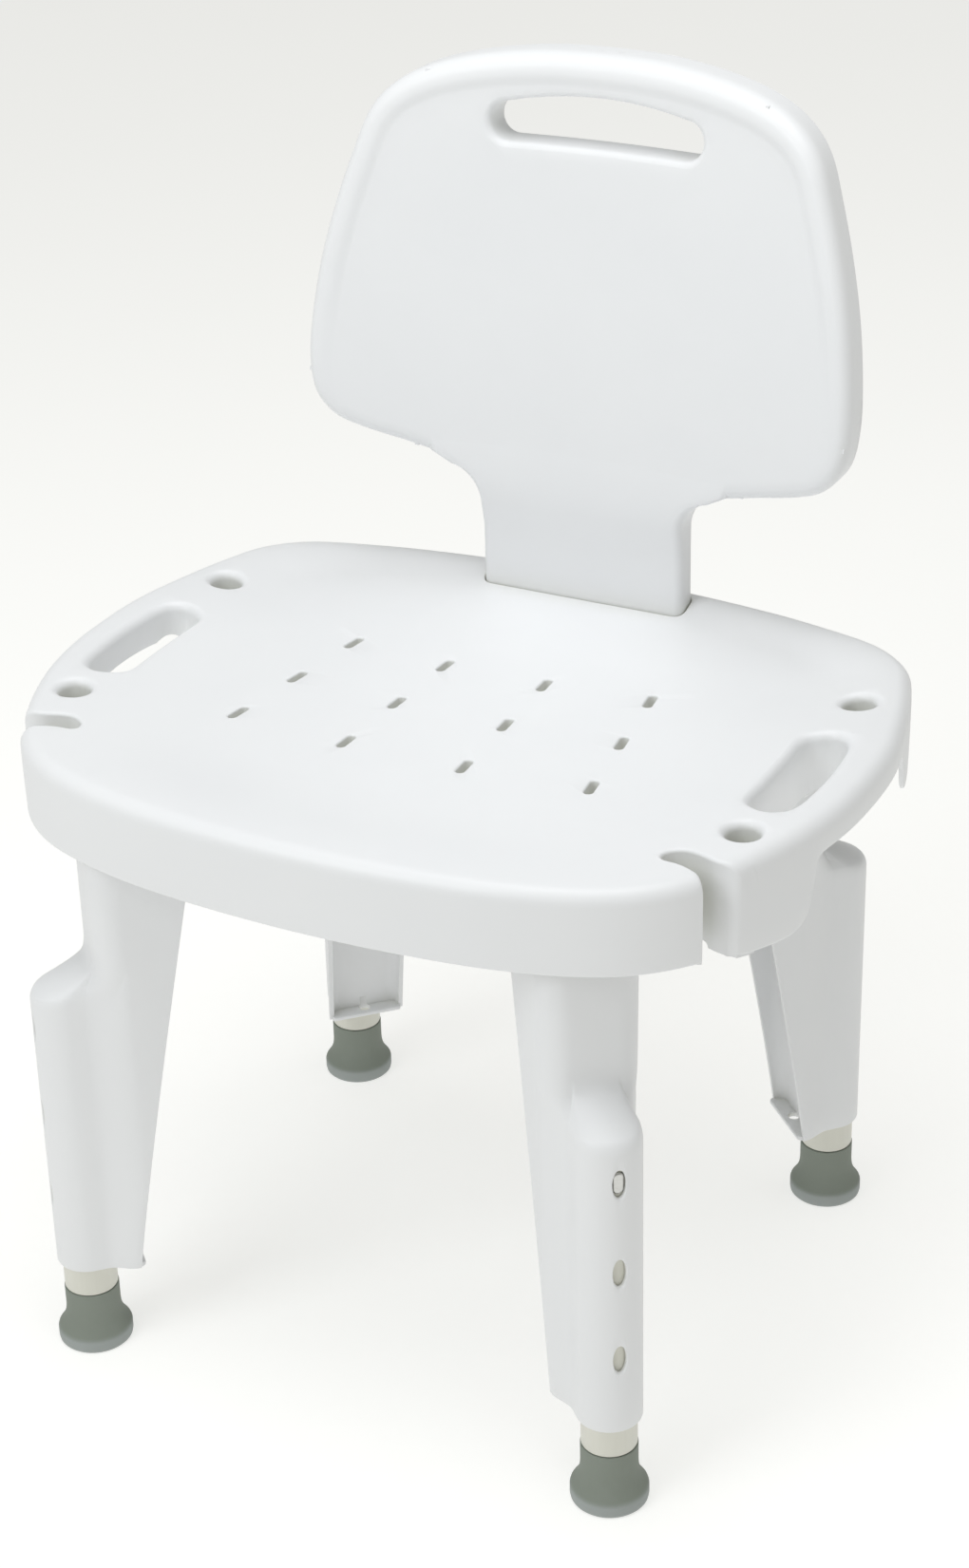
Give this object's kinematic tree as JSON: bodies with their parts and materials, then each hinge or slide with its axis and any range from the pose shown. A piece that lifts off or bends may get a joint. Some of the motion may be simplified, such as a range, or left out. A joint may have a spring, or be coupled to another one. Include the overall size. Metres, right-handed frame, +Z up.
{
  "type": "shower chair",
  "caption": "Moulded shower chair: drained seat with hand slots and hose hooks, lift-out backrest with hand hole, and splayed channel legs with telescopic, rubber-tipped height tubes.",
  "frame": {"origin": "on the floor, at the middle of the chair's plan", "axes": "+Z up, -Y towards the front of the chair, +X to the sitter's left"},
  "size_m": [0.522, 0.432, 0.741],
  "materials": {
    "white_plastic": "satin moulded polypropylene",
    "cream_plastic": "smooth extruded plastic tube",
    "grey_rubber": "matte moulded rubber",
    "steel": "plain stainless"
  },
  "bodies": {
    "seat": {"seat_shell": "white_plastic", "leg_housing_front_left": "white_plastic", "leg_housing_front_right": "white_plastic", "leg_housing_rear_left": "white_plastic", "leg_housing_rear_right": "white_plastic", "leg_screw_front_left": "steel", "leg_screw_front_right": "steel", "leg_screw_rear_left": "steel", "leg_screw_rear_right": "steel"},
    "back": {"backrest": "white_plastic"},
    "extension_front_left": {"leg_tube_front_left": "cream_plastic", "rubber_foot_front_left": "grey_rubber", "foot_washer_front_left": "steel", "button_spring_front_left": "steel"},
    "button_front_left": {"snap_button_front_left": "steel"},
    "extension_front_right": {"leg_tube_front_right": "cream_plastic", "rubber_foot_front_right": "grey_rubber", "foot_washer_front_right": "steel", "button_spring_front_right": "steel"},
    "button_front_right": {"snap_button_front_right": "steel"},
    "extension_rear_left": {"leg_tube_rear_left": "cream_plastic", "rubber_foot_rear_left": "grey_rubber", "foot_washer_rear_left": "steel", "button_spring_rear_left": "steel"},
    "button_rear_left": {"snap_button_rear_left": "steel"},
    "extension_rear_right": {"leg_tube_rear_right": "cream_plastic", "rubber_foot_rear_right": "grey_rubber", "foot_washer_rear_right": "steel", "button_spring_rear_right": "steel"},
    "button_rear_right": {"snap_button_rear_right": "steel"}
  },
  "joints": [
    {"name": "backrest_lift", "type": "slide", "parent": "seat", "child": "back", "axis": [0, 0, 1], "range_m": [0, 0.055]},
    {"name": "height_front_left", "type": "slide", "parent": "seat", "child": "extension_front_left", "axis": [0, 0, -1], "range_m": [0, 0.12]},
    {"name": "press_front_left", "type": "slide", "parent": "extension_front_left", "child": "button_front_left", "axis": [-0.7071, 0.7071, 0], "range_m": [0, 0.003], "stiffness_N_per_m": 1200, "springref_m": -0.002},
    {"name": "height_front_right", "type": "slide", "parent": "seat", "child": "extension_front_right", "axis": [0, 0, -1], "range_m": [0, 0.12]},
    {"name": "press_front_right", "type": "slide", "parent": "extension_front_right", "child": "button_front_right", "axis": [0.7071, 0.7071, 0], "range_m": [0, 0.003], "stiffness_N_per_m": 1200, "springref_m": -0.002},
    {"name": "height_rear_left", "type": "slide", "parent": "seat", "child": "extension_rear_left", "axis": [0, 0, -1], "range_m": [0, 0.12]},
    {"name": "press_rear_left", "type": "slide", "parent": "extension_rear_left", "child": "button_rear_left", "axis": [-0.7071, -0.7071, 0], "range_m": [0, 0.003], "stiffness_N_per_m": 1200, "springref_m": -0.002},
    {"name": "height_rear_right", "type": "slide", "parent": "seat", "child": "extension_rear_right", "axis": [0, 0, -1], "range_m": [0, 0.12]},
    {"name": "press_rear_right", "type": "slide", "parent": "extension_rear_right", "child": "button_rear_right", "axis": [0.7071, -0.7071, 0], "range_m": [0, 0.003], "stiffness_N_per_m": 1200, "springref_m": -0.002}
  ]
}
